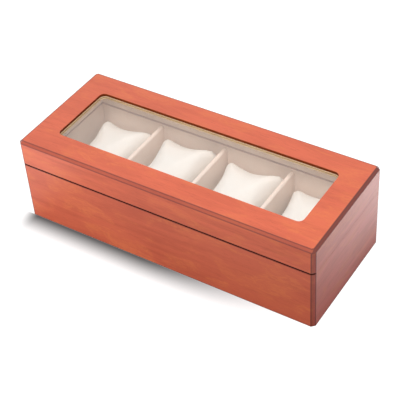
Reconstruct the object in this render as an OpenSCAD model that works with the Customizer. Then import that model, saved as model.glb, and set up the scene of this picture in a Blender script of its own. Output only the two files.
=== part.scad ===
// Wooden display box with a glazed lid: four lined bays, each with a loose cushion
// Millimetres; +X runs along the box, -Y is the front, +Z is up, and the origin is under the middle

/* [Box] */
// Length over the end walls
box_l = 300; // [260:1:360]
// Depth, front to back
box_d = 121; // [110:1:150]
// Height of the base, up to the parting line
base_h = 60.8; // [56:0.2:80]
// Height of the lid, from the parting line to its top face
lid_h = 26.6; // [22:0.2:40]
// Thickness of the wall boards
wall_t = 9.5; // [8.5:0.1:14]
// Width of the flat bevel down each upright corner, measured along a wall
corner_bevel = 3; // [1:0.1:5]
// Gap between base and lid when shut
parting_gap = 0.2; // [0.1:0.05:0.4]
// Height of the groove along the lid's lower front edge, where a fingernail lifts it
finger_groove_h = 1.2; // [0.5:0.1:2]
// Depth of that groove
finger_groove_d = 3; // [1:0.1:5]

/* [Bottom] */
// Thickness of the bottom board
bottom_t = 5; // [3:0.5:8]
// Thickness of the felt under it
felt_t = 1; // [0.5:0.1:2]
// How far the bottom board is let into the walls
rabbet_w = 4.5; // [3:0.1:6]

/* [Lid panel] */
// Width of the panel around the window
rail_w = 25.5; // [20:0.5:35]
// Radius of the window's corners
window_r = 5.5; // [4:0.5:12]
// Bevel along the panel's top edges
edge_bevel = 2.4; // [1:0.1:4]
// Thickness of the panel round the window
panel_t = 6.2; // [5.5:0.1:8]
// Thickness of the lip over the glass
lip_t = 2.8; // [2:0.1:4]
// Thickness of the glass
glass_t = 2; // [1.6:0.1:3]
// Thickness of the frame that holds the glass up against the lip
retainer_t = 2.4; // [1.6:0.1:3]
// Width of the rebate round the window
rebate_w = 5; // [3:0.1:8]

/* [Linings] */
// Thickness of the covered boards on the walls
lining_t = 2.5; // [1.5:0.1:4]
// Bevel along the inner edges of those boards where base and lid meet
lining_bevel = 0.6; // [0.2:0.1:1]
// Thickness of the covered board on the bottom
floor_lining_t = 1.5; // [1:0.1:3]
// Thickness of the lining on the underside of the lid panel
ceiling_lining_t = 1; // [0.5:0.1:2]

/* [Dividers] */
// Thickness of a divider with its cover
divider_t = 4; // [3:0.1:6]
// How far the dividers' tops lie below the parting line
divider_drop = 3.8; // [2:0.1:12]
// Depth of the stopped grooves that hold the dividers' ends
groove_depth = 1; // [0.5:0.1:1.3]

/* [Cushions] */
// Height of a cushion before it settles on the bay's floor
cushion_h = 50; // [36:1:52]
// Height of the cushion's side seam above its underside, midway along a side
cushion_seam_h = 26; // [18:1:30]
// How much higher the four pinched corners stand
cushion_corner_lift = 5; // [2:1:12]
// How far the long sides pull in between the corners
cushion_side_pull = 8.5; // [2:0.5:12]
// How far the short ends pull in
cushion_end_pull = 4; // [1:0.5:8]
// How much a cushion's own weight flattens its underside
cushion_settle = 0.5; // [0.2:0.1:2]
// Clear space between a cushion's corners and its bay
cushion_gap = 0.5; // [0.4:0.1:3]

/* [Hinges] */
// Distance from the box's end to the nearer hinge
hinge_inset = 41; // [20:1:60]
// Width of a hinge along the box
hinge_w = 28; // [22:1:40]
// Thickness of a leaf
leaf_t = 0.9; // [0.7:0.1:1.2]
// Reach of a leaf from the pin
leaf_reach = 5.8; // [5.6:0.1:5.9]
// Outer radius of the knuckles
knuckle_r = 1.75; // [1.6:0.05:2]
// Radius of the hinge pin
pin_r = 0.8; // [0.6:0.05:1]
// Depth of the rear bevels that let the lid swing back and then stop it
stop_bevel = 3.5; // [3:0.1:4.5]
// How far the pin stands outside the bottom of those bevels
pin_offset = 0.4; // [0.2:0.05:0.6]

/* [Screws] */
// Radius of a screw's head
head_r = 1.6; // [1.4:0.05:1.8]
// Radius of its shank
shank_r = 0.8; // [0.6:0.05:0.9]
// Length under the leaf's face
screw_l = 8; // [6:0.5:12]
// Distance between the two screws of a leaf
screw_spacing = 18; // [15:0.5:19]

/* [Fits] */
// Clearance between glued or laid-in boards
board_fit = 0.2; // [0.1:0.05:0.3]
// Clearance under and around soft pieces
soft_fit = 0.3; // [0.2:0.05:0.5]
// Clearance round moving metal
running_fit = 0.2; // [0.15:0.05:0.3]
// Clearance between pin and knuckle bore
pin_fit = 0.05; // [0.02:0.01:0.1]

/* [Hidden] */

round_fn = 64;
small_fn = 32;
cut = 1;

cherry = "#c9694a";
suede = "#e2cfb8";
pillow = "#f3ecdf";
felt = "#4a2c22";
brass = "#c8a24a";
glass = "#cfe0dd";
tan_wood = "#b48b62";

lid_top_z = base_h + lid_h;
panel_z = lid_top_z - panel_t;
glass_z = lid_top_z - lip_t - glass_t;
base_top_z = base_h - parting_gap / 2;
lid_low_z = base_h + parting_gap / 2;
floor_z = felt_t + bottom_t + floor_lining_t;

inner_l = box_l - 2 * wall_t;
inner_d = box_d - 2 * wall_t;
room_l = inner_l - 2 * lining_t;
room_d = inner_d - 2 * lining_t;
window_l = box_l - 2 * rail_w;
window_d = box_d - 2 * rail_w;

bays = 4;
bay_w = (room_l - (bays - 1) * divider_t) / bays;
bay_pitch = bay_w + divider_t;
divider_side_h = base_h - divider_drop - divider_t / 2 - floor_z;

hinge_x = box_l / 2 - hinge_inset - hinge_w / 2;
pin_y = box_d / 2 - stop_bevel + pin_offset;
bore_r = pin_r + pin_fit;
recess_r = knuckle_r + running_fit;
knuckle_l = (hinge_w - 2 * running_fit) / 3;
screw_y = pin_y - (recess_r + leaf_reach) / 2;
head_h = head_r - shank_r;
tip_h = 2 * shank_r;
slot_w = 0.4;
slot_depth = 0.3;

cushion_rings = 12;
cushion_sides = 40;
cushion_cap = 0.22;
cushion_fullness = 0.7;
cushion_belly = 1.3;
cushion_ear_fade = 1.2;

// Plain forms

// Outline of the whole box, seen from above, with its corners bevelled
module box_outline() {
    x = box_l / 2;
    y = box_d / 2;
    b = corner_bevel;
    polygon([
        [-x + b, -y], [x - b, -y], [x, -y + b], [x, y - b],
        [x - b, y], [-x + b, y], [-x, y - b], [-x, -y + b]
    ]);
}

// Block with rounded upright corners, centred in X and Y
module rounded_block(l, d, h, r) {
    translate([-l / 2 + r, -d / 2, 0])
        cube([l - 2 * r, d, h]);
    translate([-l / 2, -d / 2 + r, 0])
        cube([l, d - 2 * r, h]);
    for (x = [-1, 1], y = [-1, 1])
        translate([x * (l / 2 - r), y * (d / 2 - r), 0])
            cylinder(h = h, r = r, $fn = round_fn);
}

// Long bar along X whose two top edges are bevelled
module bevelled_bar(run, w, h, c) {
    rotate([90, 0, 90])
        linear_extrude(run, center = true)
            polygon([[-w / 2, 0], [w / 2, 0], [w / 2, h - c], [w / 2 - c, h], [-w / 2 + c, h], [-w / 2, h - c]]);
}

// Slab with the box's outline, its top edge bevelled all round
module bevelled_slab(h, c) {
    reach = box_l + box_d;
    across_corners = (box_l + box_d - 2 * corner_bevel) / sqrt(2);
    intersection() {
        bevelled_bar(reach, box_d, h, c);
        rotate([0, 0, 90])
            bevelled_bar(reach, box_l, h, c);
        rotate([0, 0, 45])
            bevelled_bar(reach, across_corners, h, c);
        rotate([0, 0, -45])
            bevelled_bar(reach, across_corners, h, c);
    }
}

// Board with mitred ends, its outer face on the line y = 0 and its thickness towards +Y
module mitred_board(run, t, h) {
    linear_extrude(h)
        polygon([[-run / 2, 0], [run / 2, 0], [run / 2 - t, t], [-run / 2 + t, t]]);
}

// Puts a front-facing board on one side of the box: 0 front, 1 right, 2 back, 3 left
module on_side(side) {
    rotate([0, 0, 90 * side])
        translate([0, -(side % 2 == 0 ? box_d : box_l) / 2, 0])
            children();
}

// The run of a board on that side, measured over the box
function run_of(side) = side % 2 == 0 ? box_l : box_d;

// Wall board of the base or the lid, with the box's bevelled corners
module wall_board(side, z, h) {
    intersection() {
        translate([0, 0, z])
            on_side(side)
                mitred_board(run_of(side), wall_t, h);
        translate([0, 0, z])
            linear_extrude(h)
                box_outline();
    }
}

// Covered board on the inside of a wall, up or down to its free edge, which is bevelled on the inside;
// the end boards stand between the long ones
module wall_lining(side, fixed_z, free_z) {
    run = side % 2 == 0 ? inner_l : room_d;
    depth = (side % 2 == 0 ? inner_d : inner_l) / 2;
    bevel_z = free_z - sign(free_z - fixed_z) * lining_bevel;
    rotate([0, 0, 90 * side])
        translate([0, -depth, 0])
            rotate([90, 0, 90])
                linear_extrude(run - board_fit, center = true)
                    polygon([
                        [0, fixed_z], [lining_t, fixed_z], [lining_t, bevel_z],
                        [lining_t - lining_bevel, free_z], [0, free_z]
                    ]);
}

// What the rear bevels take off both halves at the parting line
module rear_bevels() {
    reach = box_l + 2 * cut;
    rotate([90, 0, 90])
        linear_extrude(reach, center = true)
            polygon([
                [box_d / 2 - stop_bevel, base_h],
                [box_d / 2 + cut, base_h + stop_bevel + cut],
                [box_d / 2 + cut, base_h - stop_bevel - cut]
            ]);
}

// What the fingernail groove takes off the lid's lower front edge
module finger_groove() {
    reach = box_l + 2 * cut;
    translate([-reach / 2, -box_d / 2 - cut, lid_low_z - cut])
        cube([reach, finger_groove_d + cut, finger_groove_h + cut]);
}

// Places its children at both hinges
module at_hinges() {
    for (x = [-1, 1])
        translate([x * hinge_x, pin_y, base_h])
            children();
}

// Places its children at the two screws of one leaf, on the leaf's face
module at_leaf_screws() {
    for (x = [-1, 1])
        translate([x * screw_spacing / 2, screw_y - pin_y, -parting_gap / 2])
            children();
}

// Turns a base fitting over into the lid's, about the pin's line
module for_lid() {
    mirror([0, 0, 1])
        children();
}

// What a hinge takes out of the base's back board
module hinge_mortise() {
    translate([-hinge_w / 2 - running_fit, 0, 0])
        rotate([0, 90, 0])
            cylinder(h = hinge_w + 2 * running_fit, r = recess_r, $fn = small_fn);
    translate([-hinge_w / 2 - board_fit, -leaf_reach - board_fit, -parting_gap / 2 - leaf_t])
        cube([hinge_w + 2 * board_fit, leaf_reach + board_fit, leaf_t + cut]);
    at_leaf_screws()
        translate([0, 0, -screw_l - board_fit])
            cylinder(h = screw_l + board_fit, r = shank_r + pin_fit, $fn = small_fn);
}

// Base

module base_wall(side) {
    difference() {
        wall_board(side, 0, base_top_z);
        translate([0, 0, -cut])
            linear_extrude(felt_t + bottom_t + cut)
                square([inner_l + 2 * rabbet_w, inner_d + 2 * rabbet_w], center = true);
        rear_bevels();
    }
}

module base_front() {
    color(cherry) base_wall(0);
}

module base_right() {
    color(cherry) base_wall(1);
}

module base_left() {
    color(cherry) base_wall(3);
}

module base_back() {
    color(cherry)
        difference() {
            base_wall(2);
            at_hinges() hinge_mortise();
        }
}

// Bottom board, let into the rabbets of the walls
module base_bottom() {
    size = [inner_l + 2 * rabbet_w - 2 * board_fit, inner_d + 2 * rabbet_w - 2 * board_fit];
    color(tan_wood)
        translate([0, 0, felt_t])
            linear_extrude(bottom_t)
                square(size, center = true);
}

// Felt glued under the bottom board, level with the walls' lower edges
module base_felt() {
    size = [inner_l + 2 * rabbet_w - 2 * soft_fit, inner_d + 2 * rabbet_w - 2 * soft_fit];
    color(felt)
        linear_extrude(felt_t)
            square(size, center = true);
}

module floor_lining() {
    color(suede)
        translate([0, 0, felt_t + bottom_t])
            linear_extrude(floor_lining_t)
                square([inner_l - 2 * board_fit, inner_d - 2 * board_fit], center = true);
}

// Long linings have grooves for the dividers' ends, stopped at the dividers' tops
module base_lining_long(side) {
    color(suede)
        difference() {
            wall_lining(side, floor_z, base_top_z);
            for (i = [1 : bays - 1])
                divider_form(i, room_d + 2 * groove_depth, board_fit);
        }
}

module base_lining_end(side) {
    color(suede) wall_lining(side, floor_z, base_top_z);
}

module base_lining_front() {
    base_lining_long(0);
}

module base_lining_back() {
    base_lining_long(2);
}

module base_lining_left() {
    base_lining_end(3);
}

module base_lining_right() {
    base_lining_end(1);
}

// Dividers

function divider_x(i) = -room_l / 2 - divider_t / 2 + i * bay_pitch;

// Board with a rounded top edge, from front to back over that run, grown by that much all round
module divider_form(i, run, grow) {
    r = divider_t / 2 + grow;
    translate([divider_x(i), run / 2, floor_z])
        rotate([90, 0, 0]) {
            translate([-r, -grow, 0])
                cube([2 * r, divider_side_h + grow, run]);
            translate([0, divider_side_h, 0])
                cylinder(h = run, r = r, $fn = small_fn);
        }
}

// Covered board, its ends in the linings' grooves
module divider(i) {
    color(suede) divider_form(i, room_d + 2 * (groove_depth - board_fit), 0);
}

// Cushions

// Point of the cushion's outline, seen from above: a rectangle whose sides pull in between its corners
function outline_point(turn, half_w, half_l) =
    let (
        reach = max(abs(cos(turn)), abs(sin(turn))),
        across = cos(turn) / reach,
        along = sin(turn) / reach
    )
    [
        across * (half_w - cushion_side_pull * (1 - along * along)),
        along * (half_l - cushion_end_pull * (1 - across * across)),
        pow(across * along, 2)
    ];

// Ring of the cushion at one latitude, from its flat underside (-90) to its crown (90)
function cushion_ring(latitude, half_w, half_l) =
    let (
        spread = max(cushion_cap, pow(cos(latitude), cushion_fullness)),
        rise = latitude < 0
            ? cushion_seam_h * (1 - pow(-sin(latitude), cushion_belly))
            : cushion_seam_h + (cushion_h - cushion_seam_h) * sin(latitude)
    )
    [
        for (k = [0 : cushion_sides - 1])
            let (
                p = outline_point((k + 0.5) * 360 / cushion_sides, half_w, half_l),
                lift = cushion_corner_lift * p[2] * pow(cos(latitude), cushion_ear_fade)
            )
            [spread * p[0], spread * p[1], rise + lift]
    ];

// Stuffed cushion with a crown, four pinched corners and a flat underside
module cushion(i) {
    half_w = bay_w / 2 - cushion_gap;
    half_l = room_d / 2 - cushion_gap;
    rings = [
        for (r = [0 : cushion_rings])
            cushion_ring(-90 + r * 180 / cushion_rings, half_w, half_l)
    ];
    points = [for (ring = rings, p = ring) p];
    sides = [
        for (r = [0 : cushion_rings - 1], k = [0 : cushion_sides - 1])
            let (
                a = r * cushion_sides + k,
                b = r * cushion_sides + (k + 1) % cushion_sides
            )
            each [[a, a + cushion_sides, b], [b, a + cushion_sides, b + cushion_sides]]
    ];
    underside = [for (k = [0 : cushion_sides - 1]) k];
    crown = [for (k = [cushion_sides - 1 : -1 : 0]) cushion_rings * cushion_sides + k];
    color(pillow)
        translate([divider_x(i) - bay_pitch / 2, 0, floor_z + soft_fit])
            difference() {
                translate([0, 0, -cushion_settle])
                    polyhedron(points = points, faces = concat([underside], sides, [crown]));
                translate([-bay_w, -room_d, -cushion_h])
                    cube([2 * bay_w, 2 * room_d, cushion_h]);
            }
}

// Hinges

// Row of knuckles along the pin: 0 and 2 belong to the base's leaf, 1 to the lid's
module knuckles(list, r, extra) {
    for (k = list)
        translate([-hinge_w / 2 + k * (knuckle_l + running_fit) - extra, 0, 0])
            rotate([0, 90, 0])
                cylinder(h = knuckle_l + 2 * extra, r = r, $fn = small_fn);
}

// Leaf with its own knuckles, cleared round the other leaf's knuckles and bored for the pin
module hinge_leaf(own, other) {
    difference() {
        union() {
            difference() {
                translate([-hinge_w / 2, -leaf_reach, -parting_gap / 2 - leaf_t])
                    cube([hinge_w, leaf_reach, leaf_t]);
                knuckles(other, recess_r, running_fit);
            }
            knuckles(own, knuckle_r, 0);
        }
        translate([-hinge_w / 2 - cut, 0, 0])
            rotate([0, 90, 0])
                cylinder(h = hinge_w + 2 * cut, r = bore_r, $fn = small_fn);
        at_leaf_screws() {
            translate([0, 0, -leaf_t - cut])
                cylinder(h = leaf_t + 2 * cut, r = shank_r + pin_fit, $fn = small_fn);
            translate([0, 0, -head_h])
                cylinder(h = head_h, r1 = shank_r + pin_fit, r2 = head_r + pin_fit, $fn = small_fn);
            cylinder(h = cut, r = head_r + pin_fit, $fn = small_fn);
        }
    }
}

module base_leaf(x) {
    color(brass)
        translate([x * hinge_x, pin_y, base_h])
            hinge_leaf([0, 2], [1]);
}

module lid_leaf(x) {
    color(brass)
        translate([x * hinge_x, pin_y, base_h])
            for_lid() hinge_leaf([1], [0, 2]);
}

module hinge_pin(x) {
    color(brass)
        translate([x * hinge_x - hinge_w / 2, pin_y, base_h])
            rotate([0, 90, 0])
                cylinder(h = hinge_w, r = pin_r, $fn = small_fn);
}

// Countersunk slotted screw, its head level with z = 0
module screw() {
    difference() {
        rotate_extrude($fn = small_fn)
            polygon([
                [0, 0],
                [head_r, 0],
                [shank_r, -head_h],
                [shank_r, -screw_l + tip_h],
                [0, -screw_l]
            ]);
        translate([-head_r - cut, -slot_w / 2, -slot_depth])
            cube([2 * (head_r + cut), slot_w, slot_depth + cut]);
    }
}

module hinge_screws_base() {
    color(brass)
        at_hinges()
            at_leaf_screws()
                screw();
}

module hinge_screws_lid() {
    color(brass)
        at_hinges()
            for_lid()
                at_leaf_screws()
                    screw();
}

// Lid

// Panel with its edge bevelled, the window cut through and a rebate for the glass below its lip
module lid_top() {
    color(cherry)
        difference() {
            translate([0, 0, panel_z])
                bevelled_slab(panel_t, edge_bevel);
            translate([0, 0, panel_z - cut])
                rounded_block(window_l, window_d, panel_t + 2 * cut, window_r);
            translate([0, 0, panel_z - cut])
                rounded_block(
                    window_l + 2 * rebate_w, window_d + 2 * rebate_w,
                    panel_t - lip_t + cut, window_r
                );
        }
}

module lid_wall(side) {
    difference() {
        wall_board(side, lid_low_z, panel_z - lid_low_z);
        rear_bevels();
        finger_groove();
    }
}

module lid_front() {
    color(cherry) lid_wall(0);
}

module lid_right() {
    color(cherry) lid_wall(1);
}

module lid_left() {
    color(cherry) lid_wall(3);
}

module lid_back() {
    color(cherry)
        difference() {
            lid_wall(2);
            at_hinges()
                for_lid() hinge_mortise();
        }
}

// Glass, pushed up against the lip
module glass_pane() {
    grow = 2 * (rebate_w - board_fit);
    color(glass, 0.35)
        translate([0, 0, glass_z])
            rounded_block(window_l + grow, window_d + grow, glass_t, window_r);
}

// Frame glued into the rebate under the glass, level with the lining round it
module glass_retainer() {
    grow = 2 * (rebate_w - board_fit);
    color(tan_wood)
        translate([0, 0, glass_z - retainer_t])
            difference() {
                rounded_block(window_l + grow, window_d + grow, retainer_t, window_r);
                translate([0, 0, -cut])
                    rounded_block(window_l, window_d, retainer_t + 2 * cut, window_r);
            }
}

// Covered card round the glass's frame, on the underside of the panel
module lid_ceiling_lining() {
    color(suede)
        translate([0, 0, panel_z - ceiling_lining_t])
            difference() {
                linear_extrude(ceiling_lining_t)
                    square([inner_l - 2 * board_fit, inner_d - 2 * board_fit], center = true);
                translate([0, 0, -cut])
                    rounded_block(
                        window_l + 2 * rebate_w, window_d + 2 * rebate_w,
                        ceiling_lining_t + 2 * cut, window_r
                    );
            }
}

module lid_lining(side) {
    color(suede) wall_lining(side, panel_z - ceiling_lining_t, lid_low_z);
}

base_front();
base_back();
base_left();
base_right();
base_bottom();
base_felt();
floor_lining();
base_lining_front();
base_lining_back();
base_lining_left();
base_lining_right();
divider(1);  // divider_1
divider(2);  // divider_2
divider(3);  // divider_3
cushion(1);  // cushion_1
cushion(2);  // cushion_2
cushion(3);  // cushion_3
cushion(4);  // cushion_4
base_leaf(-1);  // hinge_left_base_leaf
base_leaf(1);  // hinge_right_base_leaf
hinge_pin(-1);  // hinge_left_pin
hinge_pin(1);  // hinge_right_pin
hinge_screws_base();
lid_top();
lid_front();
lid_back();
lid_left();
lid_right();
glass_pane();
glass_retainer();
lid_ceiling_lining();
lid_lining(0);  // lid_lining_front
lid_lining(2);  // lid_lining_back
lid_lining(3);  // lid_lining_left
lid_lining(1);  // lid_lining_right
lid_leaf(-1);  // hinge_left_lid_leaf
lid_leaf(1);  // hinge_right_lid_leaf
hinge_screws_lid();
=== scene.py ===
import math

import bpy
from mathutils import Matrix, Vector, noise


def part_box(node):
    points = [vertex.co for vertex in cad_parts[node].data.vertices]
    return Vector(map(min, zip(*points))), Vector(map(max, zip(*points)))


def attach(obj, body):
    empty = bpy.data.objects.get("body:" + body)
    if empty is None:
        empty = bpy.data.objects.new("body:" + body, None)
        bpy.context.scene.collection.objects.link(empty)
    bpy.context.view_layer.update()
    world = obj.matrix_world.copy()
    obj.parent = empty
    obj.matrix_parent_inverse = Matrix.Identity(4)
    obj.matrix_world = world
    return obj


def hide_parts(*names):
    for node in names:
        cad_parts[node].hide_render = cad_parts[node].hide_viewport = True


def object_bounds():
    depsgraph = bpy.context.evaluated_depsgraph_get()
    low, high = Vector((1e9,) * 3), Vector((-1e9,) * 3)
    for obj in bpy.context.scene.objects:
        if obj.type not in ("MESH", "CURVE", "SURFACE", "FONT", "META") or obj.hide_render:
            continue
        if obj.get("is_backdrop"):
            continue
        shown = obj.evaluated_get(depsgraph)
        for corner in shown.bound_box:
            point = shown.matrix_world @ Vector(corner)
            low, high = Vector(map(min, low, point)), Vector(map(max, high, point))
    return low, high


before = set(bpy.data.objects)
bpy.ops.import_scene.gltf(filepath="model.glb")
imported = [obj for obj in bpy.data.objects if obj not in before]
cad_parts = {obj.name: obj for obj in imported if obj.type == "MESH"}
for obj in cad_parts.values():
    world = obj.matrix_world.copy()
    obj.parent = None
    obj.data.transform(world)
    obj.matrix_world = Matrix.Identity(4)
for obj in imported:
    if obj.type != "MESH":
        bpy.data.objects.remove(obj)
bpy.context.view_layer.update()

# The view: a long lens from the front right, looking down on the lid, as in the photograph.
# Angles are in degrees; distance and offsets are shares of the box's length.
box_low, box_high = (Vector(corner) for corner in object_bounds())
box_length = box_high.x - box_low.x
view_turn, view_tilt, view_roll = (math.radians(angle) for angle in (34.92, 40.94, -4.36))
view_distance, view_offset_x, view_offset_y = 3.469, 0.0152, -0.0028
lens_in_picture_widths = 2.9
picture_shift = (-0.0067, -0.0213)

towards = Vector((
    math.sin(view_turn) * math.cos(view_tilt),
    -math.cos(view_turn) * math.cos(view_tilt),
    math.sin(view_tilt),
))
level_right = Vector((math.cos(view_turn), math.sin(view_turn), 0))
level_up = towards.cross(level_right)
camera_right = math.cos(view_roll) * level_right + math.sin(view_roll) * level_up
camera_up = -math.sin(view_roll) * level_right + math.cos(view_roll) * level_up
camera_data = bpy.data.cameras.new("view")
camera_data.sensor_width = 36
camera_data.lens = camera_data.sensor_width * lens_in_picture_widths
camera_data.shift_x, camera_data.shift_y = picture_shift
camera = bpy.data.objects.new("view", camera_data)
camera.matrix_world = Matrix((camera_right, camera_up, towards)).transposed().to_4x4()
camera.matrix_world.translation = Vector((0, 0, box_high.z / 2)) + box_length * (
    towards * view_distance + camera_right * view_offset_x + camera_up * view_offset_y
)
bpy.context.collection.objects.link(camera)
bpy.context.scene.camera = camera
bpy.context.scene.view_settings.view_transform = "Standard"


# The studio: a pale floor that keeps the box's soft shadow, and a white surround. One softbox hangs
# high over the front right, a small one stands low at the front left. A painted shade darkens the
# floor along the box's front foot, and a painted reflection of it in the lacquer is brightest at the
# back right.
def math_node(tree, operation, first, second=None, third=None):
    """One Math node fed by sockets or plain numbers; returns its output."""
    node = tree.nodes.new("ShaderNodeMath")
    node.operation = operation
    for index, value in enumerate((first, second, third)):
        if isinstance(value, (int, float)):
            node.inputs[index].default_value = value
        elif value is not None:
            tree.links.new(value, node.inputs[index])
    return node.outputs[0]


def product(tree, first, *others):
    """All the values multiplied together."""
    for other in others:
        first = math_node(tree, "MULTIPLY", first, other)
    return first


def blend_level(tree, factor, first, second):
    """A number between first and second, each a socket or plain, by a factor socket."""
    node = tree.nodes.new("ShaderNodeMapRange")
    tree.links.new(factor, node.inputs["Value"])
    for label, value in (("To Min", first), ("To Max", second)):
        if isinstance(value, (int, float)):
            node.inputs[label].default_value = value
        else:
            tree.links.new(value, node.inputs[label])
    return node.outputs["Result"]


def smooth_map(tree, value, span, levels=(0.0, 1.0)):
    """Eases a value over a span, from the first level to the second."""
    node = tree.nodes.new("ShaderNodeMapRange")
    node.interpolation_type = "SMOOTHSTEP"
    for label, number in zip(("From Min", "From Max", "To Min", "To Max"), (*span, *levels)):
        node.inputs[label].default_value = number
    tree.links.new(value, node.inputs["Value"])
    return node.outputs["Result"]


floor_reach = 6.0
floor_drop = 0.0002
floor_mesh = bpy.data.meshes.new("studio_floor")
floor_mesh.from_pydata(
    [(x * floor_reach, y * floor_reach, 0) for x, y in ((-1, -1), (1, -1), (1, 1), (-1, 1))],
    [], [(0, 1, 2, 3)],
)
floor = bpy.data.objects.new("studio_floor", floor_mesh)
floor.location.z = -floor_drop
bpy.context.collection.objects.link(floor)
floor_paint = bpy.data.materials.new("studio_floor")
floor_paint.use_nodes = True
tree = floor_paint.node_tree
paint = tree.nodes["Principled BSDF"]
paint.inputs["Roughness"].default_value = 0.9
paint.inputs["Specular IOR Level"].default_value = 0
paint.inputs["Emission Color"].default_value = (1, 1, 1, 1)
split = tree.nodes.new("ShaderNodeSeparateXYZ")
tree.links.new(tree.nodes.new("ShaderNodeTexCoord").outputs["Object"], split.inputs[0])
floor_x, floor_y = split.outputs["X"], split.outputs["Y"]
off_end = math_node(tree, "SUBTRACT", math_node(tree, "ABSOLUTE", floor_x), box_high.x)
off_side = math_node(tree, "SUBTRACT", math_node(tree, "ABSOLUTE", floor_y), box_high.y)
gap = math_node(tree, "MAXIMUM", off_end, off_side)

# Painted reflection: the floor's glow as only the lacquer mirrors it, ramped up away from the box,
# towards the back right and to the left.
to_the_back = smooth_map(tree, floor_y, (box_low.y, box_low.y + 0.2), (0.25, 1.4))
to_the_right = smooth_map(tree, floor_x, (box_high.x - 0.01, box_high.x + 0.02))
to_the_left = smooth_map(tree, floor_x, (box_low.x + 0.02, box_low.x - 0.03), (0.0, 0.6))
painted_reflection = math_node(tree, "MULTIPLY_ADD", to_the_back, to_the_right, to_the_left)
painted_reflection = math_node(tree, "ADD", painted_reflection, smooth_map(tree, gap, (0.0, 0.08), (0.12, 0.64)))

# The floor as it is seen: its own white, and a painted shade along the box's front foot that darkens
# both its glow and its white.
glowing_white, own_white = 0.85, 0.4
bounced_white, mirrored_white = 0.3, 0.1
# Painted shade: the floor is darkened along the box's front foot, fading away from it and towards both
# ends.
in_front = smooth_map(tree, floor_y, (box_low.y + 0.0015, box_low.y - 0.0005))
painted_contact_shade = smooth_map(tree, gap, (-0.006, 0.031), (1.0, 0.0))
from_the_left = smooth_map(tree, floor_x, (box_low.x - 0.012, box_low.x + 0.008))
fading_right = smooth_map(tree, floor_x, (-0.03, box_high.x + 0.005), (1.0, 0.05))
shade = product(tree, painted_contact_shade, in_front, from_the_left, fading_right)
outside_painted_shade = math_node(tree, "SUBTRACT", 1.0, shade)
path = tree.nodes.new("ShaderNodeLightPath")
is_mirrored = path.outputs["Is Glossy Ray"]
is_seen = math_node(tree, "MAXIMUM", path.outputs["Is Camera Ray"], is_mirrored)
glow = blend_level(tree, is_mirrored, product(tree, glowing_white, outside_painted_shade), painted_reflection)
tree.links.new(product(tree, is_seen, glow), paint.inputs["Emission Strength"])
white = blend_level(tree, is_seen, bounced_white, product(tree, own_white, outside_painted_shade))
white = blend_level(tree, is_mirrored, white, mirrored_white)
tree.links.new(white, paint.inputs["Base Color"])
floor_mesh.materials.append(floor_paint)
floor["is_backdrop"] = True

surround_light = 0.38
surround = bpy.data.worlds.new("studio")
surround.use_nodes = True
bpy.context.scene.world = surround
tree = surround.node_tree
path = tree.nodes.new("ShaderNodeLightPath")
is_seen = math_node(tree, "MAXIMUM", path.outputs["Is Camera Ray"], path.outputs["Is Glossy Ray"])
is_seen = math_node(tree, "MAXIMUM", is_seen, path.outputs["Is Transmission Ray"])
background = tree.nodes["Background"]
background.inputs["Color"].default_value = (1, 1, 1, 1)
tree.links.new(blend_level(tree, is_seen, surround_light, 1.0), background.inputs["Strength"])


def hang_softbox(name, place, aim, side, power):
    """A square lamp, in metres and watts."""
    lamp_data = bpy.data.lights.new(name, "AREA")
    lamp_data.shape = "SQUARE"
    lamp_data.size = side
    lamp_data.energy = power
    lamp = bpy.data.objects.new(name, lamp_data)
    lamp.location = place
    lamp.rotation_euler = (Vector(aim) - Vector(place)).to_track_quat("-Z", "Y").to_euler()
    bpy.context.collection.objects.link(lamp)


hang_softbox("softbox_over", place=(0.22, -0.37, 1.1), aim=(0, 0, 0.05), side=0.5, power=9.2)
hang_softbox("softbox_left", place=(-0.28, -0.36, 0.1), aim=(-0.1, -0.06, 0.04), side=0.15, power=0.66)


# The walls and the lid's panel: boards in a red-brown stain under satin lacquer, grain along each
# board. The stain is darker along the arrises of the bevels. Painted shade darkens the bevels, the
# inside of the window's lip, the groove where the lid's front meets the base, its edges and the foot of
# the walls.
def noise_node(tree, vector, scale, detail=3.0, roughness=0.55, distortion=0.0):
    """Noise whose scale may differ by axis; returns its value."""
    mapping = tree.nodes.new("ShaderNodeMapping")
    mapping.inputs["Scale"].default_value = scale
    tree.links.new(vector, mapping.inputs["Vector"])
    node = tree.nodes.new("ShaderNodeTexNoise")
    node.inputs["Scale"].default_value = 1.0
    node.inputs["Detail"].default_value = detail
    node.inputs["Roughness"].default_value = roughness
    node.inputs["Distortion"].default_value = distortion
    tree.links.new(mapping.outputs[0], node.inputs["Vector"])
    return node.outputs["Fac"]


def colour_mix(tree, factor, first, second):
    """Mixes two colours, each a socket or plain; returns the colour."""
    node = tree.nodes.new("ShaderNodeMix")
    node.data_type = "RGBA"
    sockets = [socket for socket in node.inputs if socket.enabled]
    for socket, value in zip(sockets, (factor, first, second)):
        if isinstance(value, (int, float, tuple)):
            socket.default_value = value
        else:
            tree.links.new(value, socket)
    return next(socket for socket in node.outputs if socket.enabled)


def new_group(name, inputs, outputs):
    """An empty shader node group with its sockets; returns it with its ends."""
    group = bpy.data.node_groups.new(name, "ShaderNodeTree")
    for label, kind, value in inputs:
        socket = group.interface.new_socket(label, in_out="INPUT", socket_type=kind)
        if value is not None:
            socket.default_value = value
    for label, kind in outputs:
        group.interface.new_socket(label, in_out="OUTPUT", socket_type=kind)
    return group, group.nodes.new("NodeGroupInput"), group.nodes.new("NodeGroupOutput")


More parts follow.
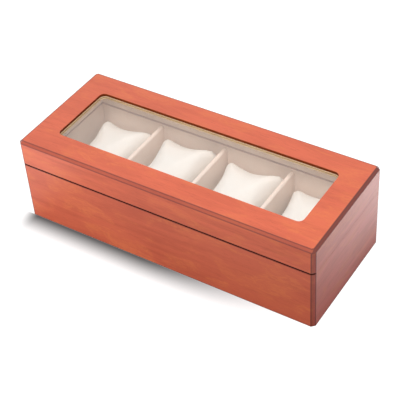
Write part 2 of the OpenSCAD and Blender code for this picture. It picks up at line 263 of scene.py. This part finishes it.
def make_figure_group():
    """Figure of the stained wood, with the grain along the vector's X."""
    group, entry, leave = new_group(
        "stained_figure",
        [
            ("Vector", "NodeSocketVector", None),
            ("Light Stain", "NodeSocketColor", (0.7, 0.16, 0.07, 1)),
            ("Dark Stain", "NodeSocketColor", (0.4, 0.07, 0.03, 1)),
            ("Warm Stain", "NodeSocketColor", (0.8, 0.25, 0.06, 1)),
            ("Figure", "NodeSocketFloat", 0.5),
        ],
        [
            ("Colour", "NodeSocketColor"),
            ("Roughness", "NodeSocketFloat"),
            ("Height", "NodeSocketFloat"),
        ],
    )
    vector = entry.outputs["Vector"]
    clouds = noise_node(group, vector, (11, 34, 34), detail=2.5, roughness=0.5, distortion=0.8)
    bands = noise_node(group, vector, (17, 190, 190), detail=3.5, roughness=0.62, distortion=0.5)
    pores = noise_node(group, vector, (130, 1700, 1700), detail=2.0, roughness=0.6)
    flakes = noise_node(group, vector, (90, 260, 260), detail=3.0, roughness=0.7, distortion=1.5)
    patches = noise_node(group, vector, (26, 60, 60), detail=2.0, roughness=0.5, distortion=1.0)

    tone = math_node(group, "ADD", product(group, clouds, 0.5), product(group, bands, 0.5))
    tone = product(group, smooth_map(group, tone, (0.38, 0.64)), entry.outputs["Figure"])
    colour = colour_mix(group, tone, entry.outputs["Light Stain"], entry.outputs["Dark Stain"])
    warmth = product(group, smooth_map(group, patches, (0.48, 0.66)),
                     smooth_map(group, flakes, (0.4, 0.62), (0.1, 0.45)))
    colour = colour_mix(group, warmth, colour, entry.outputs["Warm Stain"])
    pitting = product(group, smooth_map(group, pores, (0.55, 0.72)),
                      smooth_map(group, patches, (0.42, 0.6), (0.55, 0.12)))
    colour = colour_mix(group, pitting, colour, entry.outputs["Dark Stain"])
    group.links.new(colour, leave.inputs["Colour"])
    group.links.new(smooth_map(group, bands, (0.3, 0.7), (0.45, 0.6)), leave.inputs["Roughness"])
    group.links.new(product(group, pitting, -1.0), leave.inputs["Height"])
    return group


corner_bevel = 0.003
edge_bevel = 0.0024
window_rail = 0.0255
window_radius = 0.0055
groove_depth = 0.003
groove_height = 0.0012
bevel_foot_z = box_high.z - edge_bevel
base_top_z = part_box("base_left")[1].z
groove_top_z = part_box("lid_left")[0].z + groove_height
groove_back_y = box_low.y + groove_depth
# How much painted shade the bevels along the front and down the corners take, as shares of that on the
# ends.
front_bevel_shade = 0.6
upright_bevel_shade = 0.45
hair = 0.0001


def make_edge_group():
    """Masks from a point's place on the box; their borders are softened by a few hairs."""
    group, entry, leave = new_group(
        "box_edges",
        [("Vector", "NodeSocketVector", None), ("Width", "NodeSocketFloat", 0.001)],
        [(label, "NodeSocketFloat") for label in ("Arris Stain And Shade", "Bevel", "Lip Shade", "Groove Shade")],
    )
    split = group.nodes.new("ShaderNodeSeparateXYZ")
    group.links.new(entry.outputs["Vector"], split.inputs[0])
    x = math_node(group, "ABSOLUTE", split.outputs["X"])
    y = math_node(group, "ABSOLUTE", split.outputs["Y"])
    z = split.outputs["Z"]

    def beyond(value, place):
        return math_node(group, "SUBTRACT", value, place)

    def farther(first, second):
        return math_node(group, "MAXIMUM", first, second)

    def apart(first, second):
        squares = [product(group, part, part) for part in (first, second)]
        return math_node(group, "SQRT", math_node(group, "ADD", *squares))

    def rest_of(mask):
        return math_node(group, "SUBTRACT", 1.0, mask)

    # How far the point lies outside the walls, the upright bevels and the window.
    diagonal = product(group, math_node(group, "ADD", x, y), 1 / math.sqrt(2))
    off_corner = beyond(diagonal, (box_high.x + box_high.y - corner_bevel) / math.sqrt(2))
    off_walls = farther(beyond(x, box_high.x), beyond(y, box_high.y))
    outside = farther(off_walls, off_corner)
    window_x = beyond(x, box_high.x - window_rail - window_radius)
    window_y = beyond(y, box_high.y - window_rail - window_radius)
    rounded = apart(farther(window_x, 0.0), farther(window_y, 0.0))
    inward = math_node(group, "MINIMUM", farther(window_x, window_y), 0.0)
    off_window = beyond(math_node(group, "ADD", rounded, inward), window_radius)

    # The arrises: both edges of each bevel, where the stain is darker, and the edges of the groove and
    # the foot of the walls, where the dark line is painted shade.
    by_groove = smooth_map(group, split.outputs["Y"], (groove_back_y, groove_back_y + 4 * hair), (1, 0))
    arrises = [
        apart(beyond(outside, -edge_bevel), beyond(z, box_high.z)),
        apart(outside, beyond(z, bevel_foot_z)),
        apart(beyond(x, box_high.x), beyond(y, box_high.y - corner_bevel)),
        apart(beyond(x, box_high.x - corner_bevel), beyond(y, box_high.y)),
        math_node(group, "ADD", apart(outside, beyond(z, base_top_z)), rest_of(by_groove)),
        math_node(group, "ADD", apart(outside, beyond(z, groove_top_z)), rest_of(by_groove)),
        apart(outside, z),
    ]
    nearest = arrises[0]
    for arris in arrises[1:]:
        nearest = math_node(group, "MINIMUM", nearest, arris)
    share = math_node(group, "DIVIDE", nearest, entry.outputs["Width"])
    group.links.new(smooth_map(group, share, (0, 1), (1, 0)), leave.inputs["Arris Stain And Shade"])

    # The bevels: a painted shade, darkest round the ends of the lid, less along its front and down the
    # corners.
    below_bevel = smooth_map(group, z, (bevel_foot_z, bevel_foot_z + 3 * hair), (1, 0))
    upright = product(group, smooth_map(group, off_corner, (-4 * hair, -hair)), below_bevel,
                      upright_bevel_shade)
    slope = math_node(group, "ADD", outside, beyond(z, bevel_foot_z))
    on_end = smooth_map(group, beyond(x, box_high.x), (-edge_bevel - 4 * hair, -edge_bevel))
    top_edge = product(group, smooth_map(group, slope, (-4 * hair, -hair)), rest_of(below_bevel),
                       blend_level(group, on_end, front_bevel_shade, 1.0))
    group.links.new(farther(upright, top_edge), leave.inputs["Bevel"])

    # Painted shade inside the window's lip and in the groove at the front.
    below_top = smooth_map(group, z, (box_high.z - 6 * hair, box_high.z - hair), (1, 0))
    lip_shade = product(group, smooth_map(group, off_window, (hair, 6 * hair), (1, 0)), below_top)
    group.links.new(lip_shade, leave.inputs["Lip Shade"])
    above_base = smooth_map(group, z, (base_top_z - 2 * hair, base_top_z - hair))
    below_lid = smooth_map(group, z, (groove_top_z + hair, groove_top_z + 2 * hair), (1, 0))
    sunk_in = smooth_map(group, outside, (-6 * hair, -2 * hair), (1, 0))
    groove = product(group, above_base, below_lid, sunk_in, by_groove)
    group.links.new(groove, leave.inputs["Groove Shade"])
    return group


def place_group(tree, group, **values):
    """A group node fed by sockets or plain values, named by its inputs."""
    node = tree.nodes.new("ShaderNodeGroup")
    node.node_tree = group
    for label, value in values.items():
        socket = node.inputs[label.replace("_", " ")]
        if isinstance(value, (int, float, tuple)):
            socket.default_value = value
        else:
            tree.links.new(value, socket)
    return node


def new_material(name):
    """A Principled material and its object coordinates."""
    material = bpy.data.materials.new(name)
    material.use_nodes = True
    tree = material.node_tree
    place = tree.nodes.new("ShaderNodeTexCoord").outputs["Object"]
    return material, tree, tree.nodes["Principled BSDF"], place


def bump_from(tree, height, distance):
    """The normal of a surface that a height raises by up to the distance, in metres."""
    node = tree.nodes.new("ShaderNodeBump")
    node.inputs["Distance"].default_value = distance
    tree.links.new(height, node.inputs["Height"])
    return node.outputs["Normal"]


def dress(node, material):
    """Gives a CAD piece its finish."""
    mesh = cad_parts[node].data
    mesh.materials.clear()
    mesh.materials.append(material)


figure_group = make_figure_group()
edge_group = make_edge_group()
light_stain = (0.74, 0.140, 0.062, 1)
# The base's front and back boards are coloured darker than the lid's.
base_darker_colour = (0.66, 0.122, 0.053, 1)
end_stain = (0.74, 0.130, 0.090, 1)
dark_stain = (0.47, 0.072, 0.030, 1)
warm_stain = (0.80, 0.205, 0.060, 1)
# Dark colour for the stained arrises and for the painted shade on the bevels, the groove's edges and
# the foot of the walls.
edge_stain_and_shade = (0.14, 0.020, 0.014, 1)
# Colours of the painted shade inside the window's lip and in the front groove.
lip_shade_colour = (0.16, 0.030, 0.004, 1)
groove_shade_colour = (0.03, 0.007, 0.004, 1)
pore_depth = 0.00003
# Where the wood is darkened, by stain along the bevels' arrises and by painted shade elsewhere, how
# much of it shows, and its colour.
stain_and_painted_shade = (
    ("Arris Stain And Shade", 0.85, edge_stain_and_shade),
    ("Bevel", 0.9, edge_stain_and_shade),
    ("Lip Shade", 0.95, lip_shade_colour),
    ("Groove Shade", 1.0, groove_shade_colour),
)


def make_stained_wood(name, stain, turn, shift, figure):
    """Lacquered stained wood, with painted shade at its edges; turn is the grain's heading about Z, in
    degrees.
    """
    material, tree, shader, place = new_material(name)
    turned = tree.nodes.new("ShaderNodeMapping")
    turned.inputs["Rotation"].default_value = (0, 0, math.radians(turn))
    turned.inputs["Location"].default_value = shift
    tree.links.new(place, turned.inputs["Vector"])
    grain = place_group(tree, figure_group, Vector=turned.outputs[0], Light_Stain=stain,
                        Dark_Stain=dark_stain, Warm_Stain=warm_stain, Figure=figure)
    edges = place_group(tree, edge_group, Vector=place)
    colour = grain.outputs["Colour"]
    for label, strength, darker_colour in stain_and_painted_shade:
        mask = product(tree, edges.outputs[label], strength)
        colour = colour_mix(tree, mask, colour, darker_colour)
    tree.links.new(colour, shader.inputs["Base Color"])
    tree.links.new(grain.outputs["Roughness"], shader.inputs["Roughness"])
    tree.links.new(bump_from(tree, grain.outputs["Height"], pore_depth), shader.inputs["Normal"])
    # The lip and the groove keep no lacquer, so their painted shade shows no reflection.
    in_painted_shade = math_node(tree, "MAXIMUM", edges.outputs["Lip Shade"], edges.outputs["Groove Shade"])
    tree.links.new(math_node(tree, "SUBTRACT", 1.0, in_painted_shade), shader.inputs["Coat Weight"])
    shader.inputs["Coat Roughness"].default_value = 0.3
    shader.inputs["Coat IOR"].default_value = 1.5
    shader.inputs["Specular IOR Level"].default_value = 0.05
    return material


lid_wood = make_stained_wood("cherry_along_the_box", light_stain,
                             turn=0, shift=(0.3, 0.1, 0.0), figure=0.55)
base_wood = make_stained_wood("cherry_base_front_and_back", base_darker_colour,
                              turn=0, shift=(0.3, 0.1, 0.0), figure=0.6)
end_wood = make_stained_wood("cherry_across_the_box", end_stain,
                             turn=90, shift=(0.1, 0.7, 0.2), figure=0.5)
panel_wood = make_stained_wood("cherry_lid_panel", light_stain,
                               turn=0, shift=(0.7, 0.3, 0.5), figure=0.35)
for part, long_wood in (("base", base_wood), ("lid", lid_wood)):
    for side in ("front", "back"):
        dress(f"{part}_{side}", long_wood)
    for side in ("left", "right"):
        dress(f"{part}_{side}", end_wood)
dress("lid_top", panel_wood)


# The bottom board and the frame that holds the glass: plain wood, cut and sealed. A fine dark line
# of painted shade runs round the frame just under the glass.
plain_grain_depth = 0.0001
painted_shade_line = (0.0003, 0.0008)
painted_shade_line_drop = 0.0008


def make_plain_wood(name, light, dark, shade_line_z=0.0, shade_line_colour=None):
    """Sealed wood; with a line colour it darkens in a line of painted shade at that height."""
    material, tree, shader, place = new_material(name)
    grain = place_group(tree, figure_group, Vector=place, Light_Stain=light, Dark_Stain=dark,
                        Warm_Stain=light, Figure=0.8)
    colour = grain.outputs["Colour"]
    if shade_line_colour:
        split = tree.nodes.new("ShaderNodeSeparateXYZ")
        tree.links.new(place, split.inputs[0])
        above_line = math_node(tree, "SUBTRACT", split.outputs["Z"], shade_line_z)
        off_line = math_node(tree, "ABSOLUTE", above_line)
        shade_line = smooth_map(tree, off_line, painted_shade_line, (0.8, 0.0))
        colour = colour_mix(tree, shade_line, colour, shade_line_colour)
    tree.links.new(colour, shader.inputs["Base Color"])
    normal = bump_from(tree, grain.outputs["Height"], plain_grain_depth)
    tree.links.new(normal, shader.inputs["Normal"])
    shader.inputs["Roughness"].default_value = 0.5
    return material


dress("base_bottom", make_plain_wood("bottom_board", (0.42, 0.26, 0.13, 1), (0.28, 0.16, 0.08, 1)))
frame_top_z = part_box("glass_retainer")[1].z
dress("glass_retainer", make_plain_wood(
    "retainer_wood", (0.90, 0.70, 0.46, 1), (0.80, 0.58, 0.34, 1),
    shade_line_z=frame_top_z - painted_shade_line_drop, shade_line_colour=(0.50, 0.32, 0.12, 1),
))


# The linings, dividers and felt: napped suede cloth glued over boards. The nap lies this way and
# that, which gives soft paler and darker patches and a little sheen.
nap_depth = 0.00015
crease_shade_line = (0.0006, 0.0015)


def make_nap_group():
    """Colour and height of napped cloth."""
    group, entry, leave = new_group(
        "napped_cloth",
        [
            ("Vector", "NodeSocketVector", None),
            ("Cloth", "NodeSocketColor", (0.8, 0.7, 0.6, 1)),
            ("Shade", "NodeSocketColor", (0.6, 0.5, 0.4, 1)),
            ("Patches", "NodeSocketFloat", 0.4),
        ],
        [("Colour", "NodeSocketColor"), ("Height", "NodeSocketFloat")],
    )
    vector = entry.outputs["Vector"]
    patches = noise_node(group, vector, (55, 55, 55), detail=3.0, roughness=0.6, distortion=0.8)
    nap = noise_node(group, vector, (900, 900, 900), detail=2.0, roughness=0.7)
    fibres = noise_node(group, vector, (2600, 2600, 2600), detail=1.0, roughness=0.5)
    tone = product(group, smooth_map(group, patches, (0.35, 0.7)), entry.outputs["Patches"])
    colour = colour_mix(group, tone, entry.outputs["Cloth"], entry.outputs["Shade"])
    streaks = smooth_map(group, nap, (0.35, 0.7), (0.0, 0.2))
    colour = colour_mix(group, streaks, colour, entry.outputs["Shade"])
    group.links.new(colour, leave.inputs["Colour"])
    height = math_node(group, "ADD", product(group, nap, 0.7), product(group, fibres, 0.3))
    group.links.new(height, leave.inputs["Height"])
    return group


nap_group = make_nap_group()


def make_suede(name, cloth, shade, patches, sheen, crease_shade_colour=None):
    """Suede cloth; with a fold colour it darkens in a line of painted shade where it is turned in at
    the parting line.
    """
    material, tree, shader, place = new_material(name)
    nap = place_group(tree, nap_group, Vector=place, Cloth=cloth, Shade=shade, Patches=patches)
    colour = nap.outputs["Colour"]
    if crease_shade_colour:
        split = tree.nodes.new("ShaderNodeSeparateXYZ")
        tree.links.new(place, split.inputs[0])
        above_crease = math_node(tree, "SUBTRACT", split.outputs["Z"], base_top_z)
        off_crease = math_node(tree, "ABSOLUTE", above_crease)
        crease_shade = smooth_map(tree, off_crease, crease_shade_line, (0.8, 0.0))
        colour = colour_mix(tree, crease_shade, colour, crease_shade_colour)
    tree.links.new(colour, shader.inputs["Base Color"])
    tree.links.new(bump_from(tree, nap.outputs["Height"], nap_depth), shader.inputs["Normal"])
    shader.inputs["Roughness"].default_value = 0.95
    shader.inputs["Specular IOR Level"].default_value = 0.15
    shader.inputs["Sheen Weight"].default_value = sheen
    shader.inputs["Sheen Roughness"].default_value = 0.5
    return material


# The linings carry a line of painted shade where the lid's lining meets the base's.
lining_suede = make_suede("lining_suede", (0.98, 0.83, 0.73, 1), (0.93, 0.75, 0.64, 1),
                          patches=0.4, sheen=0.1, crease_shade_colour=(0.66, 0.48, 0.45, 1))
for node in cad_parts:
    if "lining" in node or node.startswith("divider"):
        dress(node, lining_suede)
dress("base_felt", make_suede("underside_felt", (0.05, 0.02, 0.014, 1), (0.03, 0.012, 0.01, 1),
                              patches=0.5, sheen=0.3))


# The four cushions: suede cases sewn round the sides and stuffed full, so that the corners stand up
# as blunt ears. Each is swelled as cloth at ten times its size, where cloth behaves.
cushion_suede = make_suede("cushion_suede", (0.98, 0.94, 0.88, 1), (0.94, 0.87, 0.79, 1),
                           patches=0.25, sheen=0.15)
cloth_scale = 10
cloth_voxel = 0.022
cloth_frames = 18
swell_limit = 0.0015
bay_clearance = 0.0003
seam_height = 0.0255
seam_lift = 0.005
seam_depth = 0.0006
seam_half_width = 0.0011
gather_count = 52
gather_depth = 0.00035
gather_reach = 0.004
unevenness = 0.008
# How the stuffing has settled, in metres: the rise of the left corners, of the right corners and of
# the middle, and how far the long sides are drawn in.
settling = {
    "cushion_1": (-0.0035, -0.0010, -0.0022, 0.0045),
    "cushion_2": (0.0005, 0.0045, 0.0022, 0.0045),
    "cushion_3": (-0.0010, 0.0030, -0.0010, 0.0030),
    "cushion_4": (-0.0055, 0.0005, -0.0028, 0.0010),
}
corner_spread = 1.3
cushions = {node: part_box(node) for node in settling}


def place_in_cushion(point, node):
    """Where a point lies: across and along its cushion, each -1 to 1, and metres above its foot."""
    low, high = cushions[node]
    middle, half = (low + high) / 2, (high - low) / 2
    return (point.x - middle.x) / half.x, (point.y - middle.y) / half.y, point.z - low.z


def settled(point, node):
    """The point moved as the stuffing has settled in that cushion."""
    across, along, height = place_in_cushion(point, node)
    left, right, middle, drawn_in = settling[node]
    corner = min(corner_spread * abs(across * along), 1.0)
    rise = corner * (left if across < 0 else right) + (1 - corner) * middle
    inward = -drawn_in * across * (1 - along * along)
    return point + Vector((inward, 0, rise * min(height / seam_height, 1.0)))


def sew_seam(mesh, node):
    """Draws the case in along the seam round its sides, with small gathers on both sides of it."""
    outward = [vertex.normal.copy() for vertex in mesh.vertices]
    for vertex, normal in zip(mesh.vertices, outward):
        across, along, height = place_in_cushion(vertex.co, node)
        off_seam = height - seam_height - seam_lift * (across * along) ** 2
        around = math.atan2(along, across)
        gathers = 0.5 + 0.5 * math.sin(gather_count * around + 2 * noise.noise(vertex.co * 60))
        groove = seam_depth * math.exp(-(off_seam / seam_half_width) ** 2)
        pucker = gather_depth * gathers * math.exp(-abs(off_seam) / gather_reach)
        vertex.co -= normal * (groove + pucker)


def meshed_evenly(node):
    """A loose copy of a CAD cushion, settled and enlarged, in small even faces."""
    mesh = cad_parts[node].data.copy()
    for vertex in mesh.vertices:
        vertex.co = settled(vertex.co, node)
    mesh.transform(Matrix.Scale(cloth_scale, 4))
    pillow = bpy.data.objects.new(f"{node}_case", mesh)
    bpy.context.collection.objects.link(pillow)
    remesh = pillow.modifiers.new("even_faces", "REMESH")
    remesh.mode = "VOXEL"
    remesh.voxel_size = cloth_voxel
    graph = bpy.context.evaluated_depsgraph_get()
    pillow.data = bpy.data.meshes.new_from_object(pillow.evaluated_get(graph))
    pillow.modifiers.clear()
    for vertex in pillow.data.vertices:
        vertex.co += noise.noise_vector(vertex.co * 5.0) * unevenness
    return pillow


def stuff(pillow):
    """Adds the cloth's settings: stuffing as pressure, no weight."""
    cloth = pillow.modifiers.new("stuffing", "CLOTH")
    cloth.settings.quality = 5
    cloth.settings.mass = 0.3
    cloth.settings.tension_stiffness = 12
    cloth.settings.compression_stiffness = 12
    cloth.settings.shear_stiffness = 6
    cloth.settings.bending_stiffness = 0.8
    cloth.settings.use_pressure = True
    cloth.settings.uniform_pressure_force = 4
    cloth.settings.shrink_min = -0.06
    cloth.settings.effector_weights.gravity = 0
    cloth.point_cache.frame_end = cloth_frames


def settle_in_bay(pillow, node):
    """Fixes the swollen case, limits its swelling and keeps it inside its bay's walls and floor."""
    graph = bpy.context.evaluated_depsgraph_get()
    swollen = bpy.data.meshes.new_from_object(pillow.evaluated_get(graph))
    low, high = cushions[node]
    middle = (low + high) / 2
    bay_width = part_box("divider_2")[0].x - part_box("divider_1")[1].x
    bay_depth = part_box("base_lining_back")[0].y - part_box("base_lining_front")[1].y
    reaches = (bay_width / 2 - bay_clearance, bay_depth / 2 - bay_clearance)
    limit = swell_limit * cloth_scale
    for vertex, start in zip(swollen.vertices, pillow.data.vertices):
        step = vertex.co - start.co
        if step.length > limit:
            step *= limit / step.length
        point = (start.co + step) / cloth_scale
        for axis, reach in enumerate(reaches):
            point[axis] = min(max(point[axis], middle[axis] - reach), middle[axis] + reach)
        point.z = max(point.z, low.z)
        vertex.co = point
    pillow.modifiers.clear()
    pillow.data = swollen


pillows = {node: meshed_evenly(node) for node in cushions}
for pillow in pillows.values():
    stuff(pillow)
for step in range(1, cloth_frames + 1):
    bpy.context.scene.frame_set(step)
for node, pillow in pillows.items():
    settle_in_bay(pillow, node)
    finer = pillow.modifiers.new("finer", "SUBSURF")
    finer.levels = finer.render_levels = 1
    graph = bpy.context.evaluated_depsgraph_get()
    pillow.data = bpy.data.meshes.new_from_object(pillow.evaluated_get(graph))
    pillow.modifiers.clear()
    sew_seam(pillow.data, node)
    pillow.data.materials.clear()
    pillow.data.materials.append(cushion_suede)
    pillow.data.shade_smooth()
    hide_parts(node)
    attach(pillow, f"{node}_body")
    dress(node, cushion_suede)
bpy.context.scene.frame_set(1)


# The window: one clear pane of float glass with plain edges, pushed up from below against the
# panel's lip and held there by its frame. Light goes through it without a shadow.
def make_glass():
    """Clear glass that lets light through without a shadow."""
    material, tree, shader, _ = new_material("window_glass")
    shader.inputs["Base Color"].default_value = (1, 1, 1, 1)
    shader.inputs["Transmission Weight"].default_value = 1.0
    shader.inputs["IOR"].default_value = 1.5
    shader.inputs["Roughness"].default_value = 0.0
    path = tree.nodes.new("ShaderNodeLightPath")
    clear = tree.nodes.new("ShaderNodeBsdfTransparent")
    mix = tree.nodes.new("ShaderNodeMixShader")
    light = math_node(tree, "MAXIMUM", path.outputs["Is Shadow Ray"], path.outputs["Is Diffuse Ray"])
    tree.links.new(light, mix.inputs[0])
    tree.links.new(shader.outputs[0], mix.inputs[1])
    tree.links.new(clear.outputs[0], mix.inputs[2])
    tree.links.new(mix.outputs[0], tree.nodes["Material Output"].inputs["Surface"])
    return material


dress("glass_pane", make_glass())


# The hinges: two small butt hinges let into the back boards, each of two stamped leaves round a
# pin, held by slotted countersunk screws. All are brass, rubbed to a satin finish.
def make_brass():
    """Satin brass with fine rub marks."""
    material, tree, shader, place = new_material("brass")
    rub = noise_node(tree, place, (60, 900, 900), detail=3.0, roughness=0.6)
    colour = colour_mix(tree, smooth_map(tree, rub, (0.4, 0.7)),
                        (0.78, 0.56, 0.22, 1), (0.62, 0.41, 0.14, 1))
    tree.links.new(colour, shader.inputs["Base Color"])
    tree.links.new(smooth_map(tree, rub, (0.3, 0.7), (0.26, 0.42)), shader.inputs["Roughness"])
    tree.links.new(bump_from(tree, rub, 0.00003), shader.inputs["Normal"])
    shader.inputs["Metallic"].default_value = 1.0
    return material


brass = make_brass()
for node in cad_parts:
    if node.startswith("hinge"):
        dress(node, brass)
